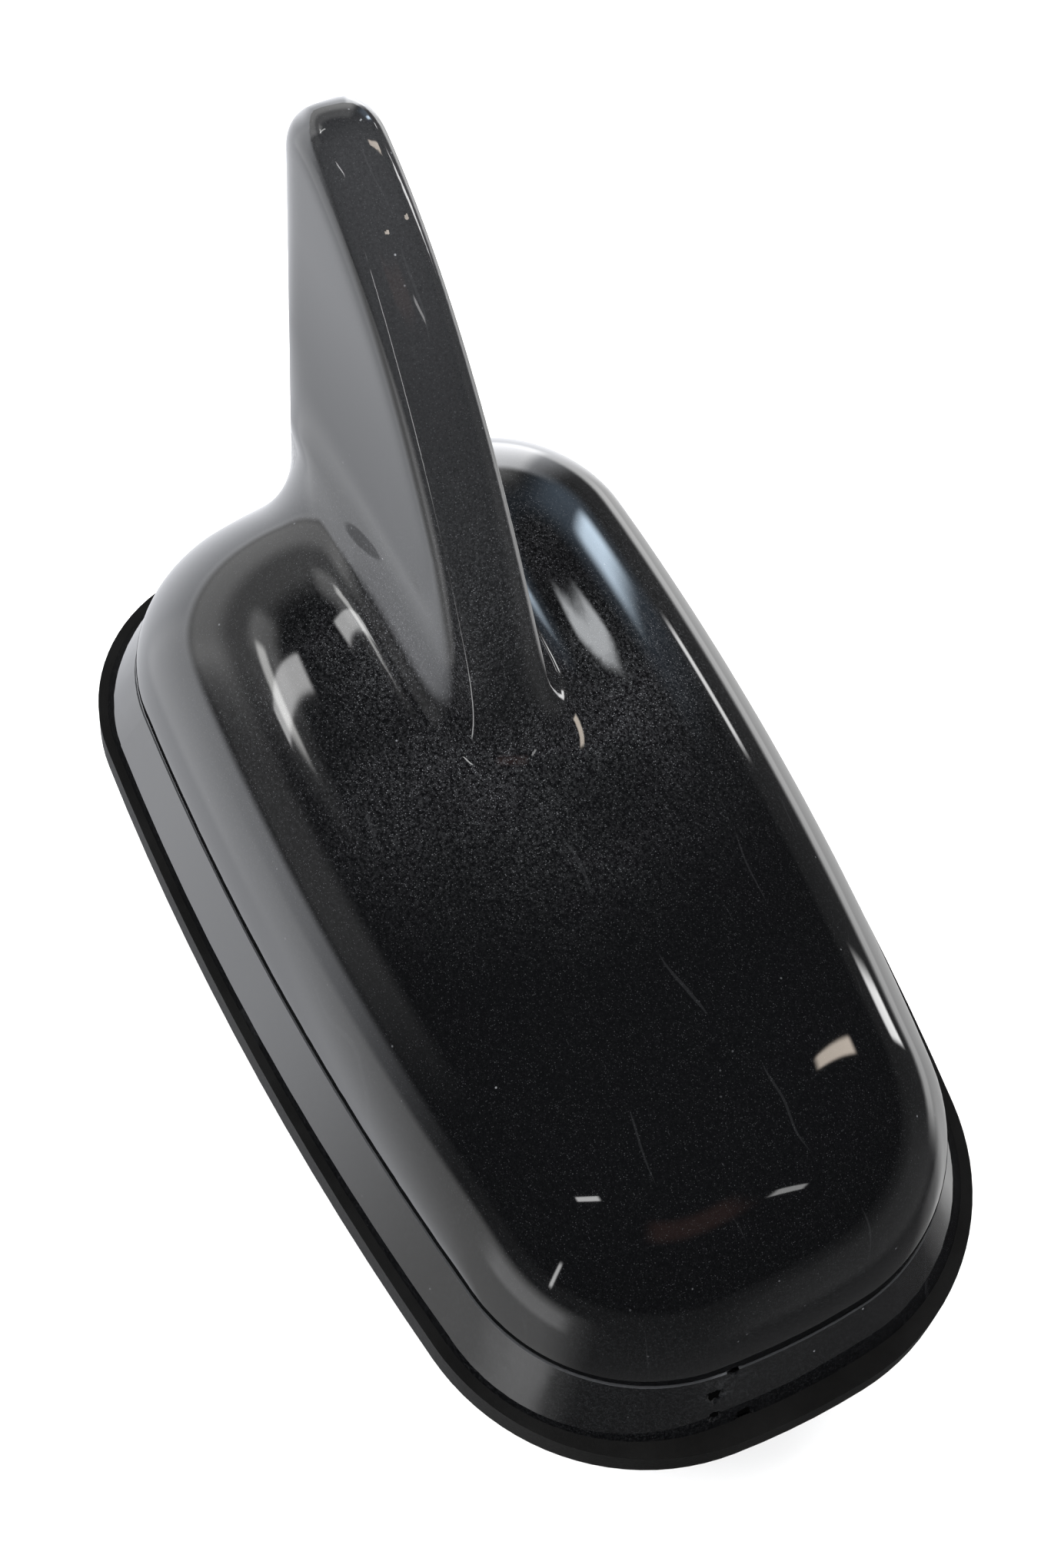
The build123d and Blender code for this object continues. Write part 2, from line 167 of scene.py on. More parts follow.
# black gloss paint with fine pale grain, single specks, hairlines and the chips at the front and on the fin
paint = {
    "black": (0.0016, 0.0017, 0.0020, 1),
    "coatRoughness": 0.035,
    "coatIor": 1.52,
    "dust": (0.34, 0.35, 0.37, 1),
    "cloudSize": 13.0,                                 # clouds in which the dust lies
    "grainSize": 0.16,                                 # fine dust, thickest round the fin's foot
    "grainShare": 0.8,
    "grainStrength": 0.7,
    "grainCentre": (-16.0, 2.0, 27.0),
    "grainReach": 35.0,
    "speckSize": 1.1,                                  # single larger specks
    "speckShare": 0.10,
    "speckStrength": 0.7,
    "filmSize": 0.3,                                   # film of dust between the grains
    "filmStrength": 0.11,
    "skirtTop": (14.0, 22.0),                          # heights between which the skirt's own film fades
    "edgeSize": 0.25,                                  # dulled leading edge, stronger towards the tip
    "edgeStrength": 0.085,
    "hairStrength": 0.016,
    "primer": (0.0012, 0.0012, 0.0012, 1),
    "pits": (((50.5, -6.0, 10.4), 0.75), ((51.4, -8.1, 7.9), 1.1),       # chips at the front: place, reach
             ((53.2, -5.4, 4.0), 1.1), ((52.4, -8.3, 5.3), 0.8)),
    "nicks": (((-38.1, -0.3, 66.8), 0.45), ((-38.8, 1.8, 67.0), 0.55)),
    "nickColour": (0.22, 0.20, 0.18, 1),
    "chipBump": 0.22,
    "scuff": ((50.9, -6.9, 8.6), 3.8),                 # rubbed patch
    "scuffDust": 0.035,
    "grooveHeight": 10.6,
    "grooveDust": 0.12,
    "filled": ((50.5, -7.0, 10.5), 2.2),               # where the groove is filled in
    "filledDust": 0.15,
    "smudge": ((-30.9, -4.7, 31.4), (0.0, -0.35, 0.10), (3.6, 1.2, 0.85)),   # place, turn, reach
}


def dustOn(f):
    _, side, up = f.place.add("ShaderNodeNewGeometry").out("Normal").split()
    up = up.between(-0.15, 0.7)
    cloud = f.noise(paint["cloudSize"], 2.0).between(0.3, 0.7)
    nearFoot = f.near(paint["grainCentre"], paint["grainReach"])
    skirt = 1 - f.z.between(*paint["skirtTop"])

    # small dots of uneven strength
    grain = f.cells(paint["grainSize"])
    chance, strength, _ = grain.out("Color").split()
    grain = (1 - grain.between(0.12, 0.42)) * chance.between(1 - paint["grainShare"], 1.0) * strength
    grain = grain * (0.12 + nearFoot * (0.3 + cloud * 0.7)) * up * paint["grainStrength"]

    # larger specks, far apart
    speck = f.cells(paint["speckSize"])
    chance, strength, _ = speck.out("Color").split()
    speck = (1 - speck.between(0.05, 0.13)) * chance.between(1 - paint["speckShare"], 1.02) * strength * up

    # film between the grains, and on the leading edge above the foot
    film = f.noise(paint["filmSize"], 3.0, 0.8).between(0.40, 0.72)
    film = film * (0.04 + skirt * 0.18 + nearFoot * (0.35 + cloud * 0.65)) * up * paint["filmStrength"]
    edge = 1 - abs(side).between(0.75, 0.97)
    edge = edge * f.z.between(24.0, 76.0) * f.x.between(-52.0, -44.0) * f.z.between(27.0, 34.0)
    edge = edge * (0.25 + f.noise(paint["edgeSize"], 3.0, 0.8)) * paint["edgeStrength"]

    # faint curved hairlines
    wave = f.noise(14.0, 1.0).out("Color")
    bent = wave.add("ShaderNodeVectorMath", {"operation": "MULTIPLY_ADD"}, {
        0: wave, 1: (6.0, 6.0, 6.0), 2: f.place})
    bent = bent.add("ShaderNodeMapping", None, {
        "Vector": bent, "Scale": (0.14, 3.6, 0.1), "Rotation": (0, 0, 0.5)})
    lines = f.noise(3.0, 1.0, 0.5, bent).between(0.73, 0.75) * up * paint["hairStrength"]
    return grain + film + edge + speck * paint["speckStrength"] + lines


def coverPaint():
    f = Finish("coverPaint")

    # chips through to the primer, the nicks on the leading edge and the rubbed patch at the front
    ragged = f.noise(0.5, 2.0) * 0.9 + 0.6
    pits = sum(((f.near(place, reach) * ragged).between(0.34, 0.42) for place, reach in paint["pits"]), 0.0)
    torn = f.noise(0.3, 2.0) * 2.4 - 0.35
    nicks = sum(((f.near(place, reach) * torn).between(0.30, 0.42) for place, reach in paint["nicks"]), 0.0)
    rub = f.near(*paint["scuff"]) * f.noise(0.7, 3.0, 0.7).between(0.45, 0.65)

    # dust in the groove, more where it is filled in
    inGroove = 1 - abs(f.z - paint["grooveHeight"]).between(0.22, 0.26)
    filled = inGroove * (paint["grooveDust"] + f.near(*paint["filled"]) * paint["filledDust"])

    # dull mark low on the left flank
    place, turn, reach = paint["smudge"]
    mark = f.place.add("ShaderNodeMapping", {"vector_type": "TEXTURE"}, {
        "Vector": f.place, "Location": place, "Rotation": turn, "Scale": reach})
    mark = 1 - mark.add("ShaderNodeVectorMath", {"operation": "LENGTH"}, {0: mark}, out=1).between(0.75, 1.05)

    pale = (dustOn(f) + rub * paint["scuffDust"] + filled).clip()
    colour = pits.clip().mix(pale.mix(paint["black"], paint["dust"]), paint["primer"])
    colour = nicks.clip().mix(colour, paint["nickColour"])
    coat = (1 - pale * 0.8 - rub * 0.4 - pits - mark * 0.5).clip()
    relief = f.bump(1 - (pits + nicks + rub * 0.25).clip(), paint["chipBump"])
    return f.done(Base_Color=colour, Roughness=(0.5 + pale * 0.4).clip(), Coat_Weight=coat, Normal=relief,
                  Specular_IOR_Level=0.0, Coat_Roughness=paint["coatRoughness"], Coat_IOR=paint["coatIor"])


# matt black moulded rubber; this table, metals and moulded all give
# darkest and palest colour, grain in mm, roughness and depth of the relief in mm
rubber = {
    # the seal's colours lie below black rubber's own: painted shade, the whole seal darkened as if it lay in
    # shade
    "sealRubberPaintedShade": (grey(0.0025), grey(0.0065), 0.35, 0.62, 0.02),
    "glandRubber": (grey(0.016), grey(0.034), 0.5, 0.55, 0.015),
}


def rubberFinish(name):
    dark, pale, grain, roughness, depth = rubber[name]
    f = Finish(name)
    fine, broad = f.noise(grain, 4.0, 0.6), f.noise(9.0, 3.0)
    colour = (fine * 0.45 + broad.between(0.35, 0.7) * 0.55).clip().mix(dark, pale)
    rough = (roughness + (fine - 0.5) * 0.25).clip()
    return f.done(Base_Color=colour, Roughness=rough, Normal=f.bump(fine, depth), Specular_IOR_Level=0.15)


# closed-cell foam of the ring round the stud
foam = {"dark": (0.018, 0.018, 0.019, 1), "pale": (0.05, 0.05, 0.052, 1), "cell": 0.45, "depth": 0.12}


def foamFinish():
    f = Finish("ringFoam")
    cell = f.cells(foam["cell"])
    colour = cell.between(0.05, 0.5).mix(foam["dark"], foam["pale"])
    return f.done(Base_Color=colour, Roughness=0.85 - cell * 0.2, Normal=f.bump(cell, foam["depth"]))


# bare metals: cast aluminium, zinc-plated steel, brass, tin, silver, copper, bronze
metals = {
    "castBase": ((0.44, 0.45, 0.47, 1), (0.58, 0.59, 0.61, 1), 1.6, 0.46, 0.05),
    "studZinc": ((0.50, 0.50, 0.49, 1), (0.66, 0.65, 0.62, 1), 2.2, 0.30, 0.008),
    "screwZinc": ((0.44, 0.44, 0.44, 1), (0.62, 0.61, 0.58, 1), 1.1, 0.32, 0.006),
    "socketBrass": ((0.58, 0.42, 0.17, 1), (0.74, 0.57, 0.27, 1), 0.9, 0.30, 0.004),
    "pinBrass": ((0.60, 0.44, 0.18, 1), (0.76, 0.60, 0.30, 1), 0.5, 0.28, 0.003),
    "shieldTin": ((0.52, 0.52, 0.51, 1), (0.68, 0.68, 0.66, 1), 2.6, 0.33, 0.006),
    "patchSilver": ((0.66, 0.65, 0.62, 1), (0.82, 0.81, 0.79, 1), 1.4, 0.42, 0.006),
    "bladeCopper": ((0.55, 0.25, 0.12, 1), (0.72, 0.38, 0.22, 1), 1.8, 0.36, 0.004),
    "contactBronze": ((0.50, 0.34, 0.18, 1), (0.66, 0.48, 0.28, 1), 0.7, 0.30, 0.004),
}


def metalFinish(name):
    dark, pale, grain, roughness, depth = metals[name]
    f = Finish(name)
    cloud, fine = f.noise(grain * 3, 3.0), f.noise(grain * 0.25, 4.0, 0.65)
    colour = (cloud * 0.65 + fine * 0.35).between(0.3, 0.7).mix(dark, pale)
    rough = (roughness + (cloud - 0.5) * 0.3 + (fine - 0.5) * 0.12).clip()
    return f.done(Base_Color=colour, Roughness=rough, Metallic=1.0, Normal=f.bump(fine, depth))


# board, moulded and fired pieces inside
moulded = {
    "boardLaminate": ((0.020, 0.125, 0.052, 1), (0.038, 0.185, 0.085, 1), 1.2, 0.38, 0.01),
    "bladeLaminate": ((0.038, 0.165, 0.080, 1), (0.062, 0.235, 0.120, 1), 0.8, 0.5, 0.01),
    "patchTape": ((0.68, 0.66, 0.61, 1), (0.80, 0.78, 0.73, 1), 0.6, 0.8, 0.03),
    "patchCeramic": ((0.56, 0.50, 0.41, 1), (0.67, 0.61, 0.51, 1), 0.9, 0.55, 0.008),
    "chipBlack": ((0.010, 0.010, 0.011, 1), (0.028, 0.028, 0.030, 1), 0.3, 0.5, 0.01),
    "holderPlastic": ((0.022, 0.022, 0.024, 1), (0.045, 0.045, 0.047, 1), 0.7, 0.48, 0.012),
}


def mouldedFinish(name):
    dark, pale, grain, roughness, depth = moulded[name]
    f = Finish(name)
    cloud, fine = f.noise(grain * 6, 3.0), f.noise(grain * 0.5, 4.0, 0.6)
    colour = (cloud * 0.5 + fine * 0.5).between(0.3, 0.7).mix(dark, pale)
    rough = (roughness + (fine - 0.5) * 0.25).clip()
    return f.done(Base_Color=colour, Roughness=rough, Normal=f.bump(fine, depth))


zincScrews = metalFinish("screwZinc")
shieldTin = metalFinish("shieldTin")
carried = {
    # the seal's finish carries painted shade in its colour
    "perimeter_seal": rubberFinish("sealRubberPaintedShade"),
    "cable_gland": rubberFinish("glandRubber"),
    "stud_seal": foamFinish(),
    "base_plate": metalFinish("castBase"),
    "shield_frame": shieldTin,
    "shield_can": shieldTin,
    "cable_sockets": metalFinish("socketBrass"),
    "patch_feed_pin": metalFinish("pinBrass"),
    "patch_electrode": metalFinish("patchSilver"),
    "blade_radiator": metalFinish("bladeCopper"),
    "blade_contacts": metalFinish("contactBronze"),
    "main_board": mouldedFinish("boardLaminate"),
    "phone_blade": mouldedFinish("bladeLaminate"),
    "patch_pad": mouldedFinish("patchTape"),
    "patch_ceramic": mouldedFinish("patchCeramic"),
    "board_chips": mouldedFinish("chipBlack"),
    "blade_holder": mouldedFinish("holderPlastic"),
}
for node, finish in carried.items():
    nodes[node].data.materials.clear()
    nodes[node].data.materials.append(finish)
print("finishes on", len(carried), "carried-over nodes")


def turned(name, rings, count):                        # tube through rings of (radius or radii, height)
    turns = np.linspace(0, 2 * math.pi, count, endpoint=False)
    points, faces = [], []
    for radius, height in rings:
        reach = np.broadcast_to(radius, count)
        points += [(r * math.cos(t) * mm, r * math.sin(t) * mm, height * mm) for r, t in zip(reach, turns)]
    for i in range(len(rings) - 1):
        for j in range(count):
            k = (j + 1) % count
            faces.append((i * count + j, i * count + k, (i + 1) * count + k, (i + 1) * count + j))
    mesh = bpy.data.meshes.new(name)
    mesh.from_pydata(points, [], faces)
    return mesh


def capped(mesh, count):                               # closes both open ends of a turned mesh
    total = len(mesh.vertices)
    points = [v.co[:] for v in mesh.vertices]
    faces = [tuple(p.vertices) for p in mesh.polygons]
    faces.append(tuple(reversed(range(count))))
    faces.append(tuple(range(total - count, total)))
    mesh.clear_geometry()
    mesh.from_pydata(points, [], faces)
    return mesh


def smoothed(mesh, angle):
    mesh.polygons.foreach_set("use_smooth", [True] * len(mesh.polygons))
    mesh.set_sharp_from_angle(angle=math.radians(angle))


def newTree(name, inputs):                             # geometry tree with named inputs
    tree = bpy.data.node_groups.new(name, "GeometryNodeTree")
    tree.interface.new_socket("Geometry", in_out="INPUT", socket_type="NodeSocketGeometry")
    tree.interface.new_socket("Geometry", in_out="OUTPUT", socket_type="NodeSocketGeometry")
    for label, kind in inputs:
        tree.interface.new_socket(label, in_out="INPUT", socket_type=kind)
    start = tree.nodes.new("NodeGroupInput")
    return tree, {s.name: Wire(tree, s) for s in start.outputs if s.name}


def endTree(tree, shape, material):
    real = shape.add("GeometryNodeRealizeInstances", None, {0: shape})
    last = real.add("GeometryNodeSetMaterial", None, {0: real, 2: material})
    out = tree.nodes.new("NodeGroupOutput")
    tree.links.new(last.socket, out.inputs[0])


def grown(obj, tree, values):                          # runs a tree on an object and keeps a plain mesh
    modifier = obj.modifiers.new(tree.name, "NODES")
    modifier.node_group = tree
    for item in tree.interface.items_tree:
        if item.in_out == "INPUT" and item.name in values:
            modifier[item.identifier] = values[item.name]
    sight = bpy.context.evaluated_depsgraph_get()
    mesh = bpy.data.meshes.new_from_object(obj.evaluated_get(sight))
    obj.modifiers.remove(modifier)
    obj.data = mesh
    return obj


def placed(name, mesh):
    obj = bpy.data.objects.new(name, mesh)
    bpy.context.scene.collection.objects.link(obj)
    return obj


# painted skin: the cover's own form in a finer mesh, with its normals run together so that gloss flows
skin = {
    "weld": 0.002,                                     # the CAD mesh's points nearer than this are one
    "edge": 1.2,                                       # longest edge of the finer mesh
    "low": 10.7,                                       # the skin lies above the groove
    "crease": 35.0,                                    # and ends at edges sharper than this
    "blend": 3.0,                                      # its lowest rows keep their own normals
    "cell": 0.7,                                       # grid on which normals are gathered
    "near": 1.1,                                       # how far they run together on the fin
    "far": 2.6,                                        # and on the crown, the shoulder and the foot of the fin
    "dome": (0.0012, 0.0030),                          # lean of the crown's normals per mm, along and across
    "crown": 27.4,                                     # height of the crown
    "flare": 0.42,                                     # lean of the fin's flanks towards its foot
    "flareTop": 58.0,
    "foot": 0.14,                                      # how much tighter the root fillet reads
    "pitEdge": 0.2,                                    # longest edge inside the chips at the front
    "pitSearch": 20.0,                                 # edges further from a chip aren't looked at
    "pitDepth": 0.3,
    "pitRagged": 1.8,                                  # unevenness of the chips' outline per mm
}


def halved(work, tooLong):                             # long edges are halved, the longest first
    queue, turn = [], 0
    fresh = list(work.edges)
    while fresh or queue:
        for edge in fresh:
            if tooLong(edge):
                turn += 1
                heapq.heappush(queue, (-edge.calc_length(), turn, edge))
        fresh = []
        if queue:
            length, _, edge = heapq.heappop(queue)
            if abs(edge.calc_length() + length) < 1e-9:    # not halved since
                faces = list(edge.link_faces)
                middle = bmesh.utils.edge_split(edge, edge.verts[0], 0.5)[1]
                for face in faces:
                    ring = list(face.verts)
                    bmesh.utils.face_split(face, middle, ring[ring.index(middle) - 2])
                fresh = list(middle.link_edges)


def touches(edge, at, reach):                          # a face at this edge comes within reach of the point
    if (edge.verts[0].co - at).length > reach + skin["pitSearch"] * mm:
        return False
    corners = ([v.co for v in face.verts] for face in edge.link_faces)
    return any((geometry.closest_point_on_tri(at, *c) - at).length < reach for c in corners)


def chipped(work):                                     # the chips at the front, cut finer and pushed in
    mark = work.verts.layers.int.new("pit")
    own = work.loops.layers.float_vector["cadNormal"]
    for place, reach in paint["pits"]:
        at, reach = Vector(place) * mm, reach * mm
        halved(work, lambda edge: edge.calc_length() >= skin["pitEdge"] * mm and touches(edge, at, reach))
        for v in work.verts:
            away = (v.co - at).length / reach
            if away >= 1:
                continue
            uneven = away * (0.85 + 0.5 * noise.noise(v.co * (skin["pitRagged"] / mm)))
            deep = min(1, max(0, (0.75 - uneven) / 0.3))
            outward = sum((loop[own] for loop in v.link_loops), Vector())
            outward.z = 0                              # straight in, so that the lower rim stays level
            if deep and outward.length > 0.1:
                v.co -= outward.normalized() * deep * skin["pitDepth"] * mm
                v[mark] = 1


def listed(data, name, width=1, kind=np.float32):      # one value of each item, as an array
    values = np.empty(len(data) * width, kind)
    data.foreach_get(name, values)
    return values.reshape(-1, width) if width > 1 else values


def finerCover():
    mesh = nodes["cover"].data.copy()
    normals = listed(mesh.corner_normals, "vector", 3)
    mesh.attributes.new("cadNormal", "FLOAT_VECTOR", "CORNER").data.foreach_set("vector", normals.ravel())
    work = bmesh.new()
    work.from_mesh(mesh)
    bmesh.ops.remove_doubles(work, verts=work.verts, dist=skin["weld"] * mm)
    chipped(work)
    mark = work.faces.layers.int.new("skin")
    crease = math.radians(skin["crease"])
    queue = list(max(work.verts, key=lambda v: v.co.z).link_faces)
    while queue:                                       # outer faces above the groove, from the tip down
        face = queue.pop()
        if face[mark] or min(v.co.z for v in face.verts) < skin["low"] * mm:
            continue
        face[mark] = 1
        smooth = [e for e in face.edges if len(e.link_faces) == 2 and e.calc_face_angle() < crease]
        queue += [n for e in smooth for n in e.link_faces]
    longest = skin["edge"] * mm
    halved(work, lambda edge: edge.calc_length() > longest and any(f[mark] for f in edge.link_faces))
    work.to_mesh(mesh)
    work.free()
    return mesh


def blurred(grid, reach):                              # Gaussian run along the three axes
    steps = int(3 * reach / skin["cell"]) + 1
    weights = np.exp(-0.5 * (np.arange(-steps, steps + 1) * skin["cell"] / reach) ** 2)
    for axis in range(3):
        total = np.zeros_like(grid)
        for step, weight in zip(range(-steps, steps + 1), weights):
            total += np.roll(grid, step, axis) * weight
        grid = total / weights.sum()
    return grid


def unit(vectors):
    return vectors / np.maximum(np.linalg.norm(vectors, axis=-1, keepdims=True), 1e-12)


def ramp(value, low, high):                            # straight from 0 at low to 1 at high
    return np.clip((value - low) / (high - low), 0, 1)


# each face leaves its area and direction on a grid; blurred, that is the normal of a softened solid
def softened(places, faces):
    a, b, c = (places[faces[:, i]] for i in range(3))
    areas, centres = np.cross(b - a, c - a) / 2, (a + b + c) / 3
    margin = 4 * skin["far"]
    origin = places.min(0) - margin
    size = np.ceil((places.max(0) + margin - origin) / skin["cell"]).astype(int) + 2

    def cellsRound(points):                            # the eight cells round each point and their shares
        at = (points - origin) / skin["cell"]
        base = np.floor(at).astype(int)
        part = at - base
        for i in range(8):
            step = np.array([i & 1, i >> 1 & 1, i >> 2])
            along, across, up = (base + step).T
            yield (along * size[1] + across) * size[2] + up, np.where(step, part, 1 - part).prod(1)

    field = np.zeros((3, size.prod()))
    for cell, share in cellsRound(centres):
        for i in range(3):
            field[i] += np.bincount(cell, areas[:, i] * share, size.prod())

    def gathered(reach):
        soft = [blurred(f.reshape(size), reach).ravel() for f in field]
        shares = ((np.stack([f[cell] for f in soft], 1), share[:, None]) for cell, share in cellsRound(places))
        return unit(sum(value * share for value, share in shares))

    onFin = ramp(places[:, 2], skin["crown"] + 7, skin["crown"] + 17)[:, None]
    return unit(gathered(skin["near"]) * onFin + gathered(skin["far"]) * (1 - onFin))


def leaned(soft, places):
    x, y, z = places.T
    crown = skin["crown"]

    # the crown a little domed, the flanks spread towards the foot
    top = ramp(soft[:, 2], 0.5, 1.0) * ramp(z, crown + 6, crown + 2)
    soft[:, 0] += top * skin["dome"][0] * x
    soft[:, 1] += top * skin["dome"][1] * y
    flank = ramp(np.abs(soft[:, 1]), 0.4, 0.9) * ramp(z, crown, crown + 3)
    soft[:, 2] += flank * skin["flare"] * ramp(z, skin["flareTop"], crown) ** 1.3
    soft = unit(soft)

    # the root fillet turned down, so that it reads tighter
    rise = soft[:, 2]
    pull = skin["foot"] * ramp(z, crown + 0.4, crown + 1.6) * ramp(np.abs(soft[:, 1]), 0.3, 0.55)
    pull *= ramp(rise, 0.48, 0.72) * ramp(rise, 0.95, 0.80)
    level = unit(soft[:, :2]) * np.sqrt(1 - (rise - pull) ** 2)[:, None]
    return np.where(pull[:, None] > 0, np.stack([level[:, 0], level[:, 1], rise - pull], 1), soft)


def runTogether(mesh):
    count = len(mesh.vertices)
    places = listed(mesh.vertices, "co", 3) / mm
    corners = listed(mesh.loops, "vertex_index", 1, np.int32)
    normals = listed(mesh.attributes["cadNormal"].data, "vector", 3)
    onSkin = np.repeat(listed(mesh.attributes["skin"].data, "value", 1, np.int32) > 0, 3)
    inPit = listed(mesh.attributes["pit"].data, "value", 1, np.int32)[corners] > 0
    shaped = listed(mesh.vertex_normals, "vector", 3)

    skinCorners = corners[onSkin]
    own = unit(np.stack([np.bincount(skinCorners, normals[onSkin][:, i], count) for i in range(3)], 1))
    soft = leaned(softened(places, skinCorners.reshape(-1, 3)), places)
    lowest = skin["low"] + 0.3
    hold = ramp(places[:, 2], lowest, lowest + skin["blend"])[:, None]
    normals[onSkin] = unit(own * (1 - hold) + soft * hold)[skinCorners]
    normals[inPit] = shaped[corners[inPit]]            # the chips keep the normals of their mesh
    mesh.polygons.foreach_set("use_smooth", [True] * len(mesh.polygons))
    mesh.normals_split_custom_set(unit(normals).tolist())
    for name in ("cadNormal", "skin", "pit"):
        mesh.attributes.remove(mesh.attributes[name])


coverMesh = finerCover()
runTogether(coverMesh)
coverMesh.materials.clear()
coverMesh.materials.append(coverPaint())
coverPiece = placed("cover_painted", coverMesh)
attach(coverPiece, "root")
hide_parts("cover")
print("painted cover:", len(coverMesh.polygons), "faces")


# threaded stud: a turned body whose thread is cut by a rule on angle and height
stud = {
    "pitch": 1.5,
    "depth": 0.75,
    "runIn": 1.4,                                      # length in which the thread fades at its ends
    "thread": 6.0,                                     # outer radius, then those of neck, bore and upper bore
    "neck": 6.3,
    "bore": 4.0,
    "wide": 4.5,
    "flangeLow": 3.7,
    "chamfer": 0.8,
    "count": 96,
    "rows": 168,
}


def studBody():
    low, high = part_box("mounting_stud")
    bottom, top, flange = low.z / mm, high.z / mm, high.x / mm
    gland, key = (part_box(node)[0].z / mm for node in ("cable_gland", "base_plate"))
    thread, neck, bore, wide, flangeLow = (stud[k] for k in ("thread", "neck", "bore", "wide", "flangeLow"))
    start = bottom + stud["chamfer"]
    rings = [(bore, bottom), (thread - stud["chamfer"], bottom), (thread, start)]
    rings += [(thread, z) for z in np.linspace(start, key, stud["rows"])[1:-1]]
    rings += [(thread, key), (neck, key), (neck, flangeLow), (flange, flangeLow), (flange, top), (wide, top),
              (wide, gland), (bore, gland), (bore, bottom)]
    return turned("mounting_stud_threaded", rings, stud["count"]), bottom, key


def studTree():
    sizes = ("Pitch", "Depth", "Low", "High", "Run in", "Outside")
    tree, given = newTree("studThread", [(label, "NodeSocketFloat") for label in sizes]
                          + [("Finish", "NodeSocketMaterial")])
    place = Wire(tree).add("GeometryNodeInputPosition")
    x, y, z = place.split()
    radius = (x * x + y * y) ** 0.5
    turn = x.sum("ARCTAN2", y, x) / (2 * math.pi)
    phase = x.sum("FRACT", z / given["Pitch"] - turn + 100.0)    # the 100 keeps it above 0
    valley = 1 - (abs(phase * 2 - 1) * 1.35 - 0.1).clip()        # with flat crest and root
    ends = (z.between(given["Low"], given["Low"] + given["Run in"])
            * (1 - z.between(given["High"] - given["Run in"], given["High"])))
    outside = radius.between(given["Outside"] - 0.6 * mm, given["Outside"] - 0.3 * mm)
    cut = 1 - valley * ends * outside * given["Depth"] / radius
    moved = x.add("ShaderNodeCombineXYZ", None, {0: x * cut, 1: y * cut, 2: z})
    body = moved.add("GeometryNodeSetPosition", None, {0: given["Geometry"], 2: moved})
    endTree(tree, body, given["Finish"])
    return tree


studMesh, studLow, studHigh = studBody()
studPiece = grown(placed("mounting_stud_threaded", studMesh), studTree(), {
    "Pitch": stud["pitch"] * mm, "Depth": stud["depth"] * mm, "Low": studLow * mm, "High": studHigh * mm,
    "Run in": stud["runIn"] * mm, "Outside": stud["thread"] * mm, "Finish": metalFinish("studZinc")})
smoothed(studPiece.data, 50)
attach(studPiece, "root")
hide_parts("mounting_stud")
print("threaded stud:", len(studPiece.data.polygons), "faces")


# six-lobe screws, one shape set on every seat
screw = {
    "lobes": 6,
    "recess": 1.15,
    "recessDepth": 0.85,
    "lobeDepth": 0.22,
    "cover": (2.8, 1.6, 1.25, 1.0),                    # head's radius and height, shank's radius, recess scale
    "board": (1.9, 1.3, 0.95, 0.7),
    "apart": 6.0,                                      # screws lie further apart than this
    "count": 48,
    "seed": 4,
}


def seats(node):                                       # plan centres of a node's separate solids
    groups = []
    for v in nodes[node].data.vertices:
        for g in groups:
            if (g[0] - v.co).to_2d().length < screw["apart"] * mm:
                g.append(v.co)
                break
        else:
            groups.append([v.co.copy()])
    centres = []
    for g in groups:
        xs, ys = [p.x for p in g], [p.y for p in g]
        centres.append(((min(xs) + max(xs)) / 2, (min(ys) + max(ys)) / 2))
    return centres


def screwMesh(name, size, length):                     # head below 0, shank up to the length
    head, headHeight, shank, scale = size
    turns = np.linspace(0, 2 * math.pi, screw["count"], endpoint=False)
    lobed = (screw["recess"] + screw["lobeDepth"] * np.cos(screw["lobes"] * turns)) * scale
    deep = -headHeight + screw["recessDepth"] * scale
    rings = [(lobed * 0.05, deep), (lobed * 0.94, deep)]
    rings += [(lobed, -headHeight + 0.06), (lobed * 1.06, -headHeight)]
    edge = headHeight * 0.42                           # rounding of the head
    for a in np.linspace(0, math.pi / 2, 7):
        rings.append((head - edge + edge * math.sin(a), -headHeight + edge * (1 - math.cos(a))))
    rings += [(head, 0.0), (shank, 0.0), (shank, length - shank * 0.8), (shank * 0.35, length)]
    return capped(turned(name, rings, screw["count"]), screw["count"])


def screwTree():
    tree, given = newTree("screwRow", (("Screw", "NodeSocketObject"), ("Seed", "NodeSocketInt"),
                                       ("Finish", "NodeSocketMaterial")))
    shape = given["Screw"].add("GeometryNodeObjectInfo", None, {0: given["Screw"]}, out=4)
    turn = shape.add("FunctionNodeRandomValue", {"data_type": "FLOAT_VECTOR"},
                     {0: (0, 0, 0), 1: (0, 0, 2 * math.pi), 8: given["Seed"]})
    row = shape.add("GeometryNodeInstanceOnPoints", None, {0: given["Geometry"], 2: shape, 5: turn})
    endTree(tree, row, given["Finish"])
    return tree


def screwRow(node, name, kind, fromAbove):
    low, high = (c.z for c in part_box(node))
    headHeight = screw[kind][1]
    mesh = screwMesh(kind + "Screw", screw[kind], (high - low) / mm - headHeight)
    if fromAbove:
        mesh.transform(Matrix.Rotation(math.pi, 4, "X"))
    seatHeight = high - headHeight * mm if fromAbove else low + headHeight * mm
    points = bpy.data.meshes.new(name + "Seats")
    points.from_pydata([(x, y, seatHeight) for x, y in seats(node)], [], [])
    one = placed(name + "One", mesh)
    row = grown(placed(name, points), screwTree(), {"Screw": one, "Seed": screw["seed"], "Finish": zincScrews})
    bpy.data.objects.remove(one)
    smoothed(row.data, 40)
    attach(row, "root")
    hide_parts(node)
    print(name, "on", len(points.vertices), "seats")


screwRow("cover_screws", "cover_screws_six_lobe", "cover", False)
screwRow("board_screws", "board_screws_six_lobe", "board", True)


# plain pale floor under the stud
floorLook = {"pale": grey(0.95), "shade": grey(0.92), "reach": 6.0, "gap": 0.4, "cloudSize": 60.0}


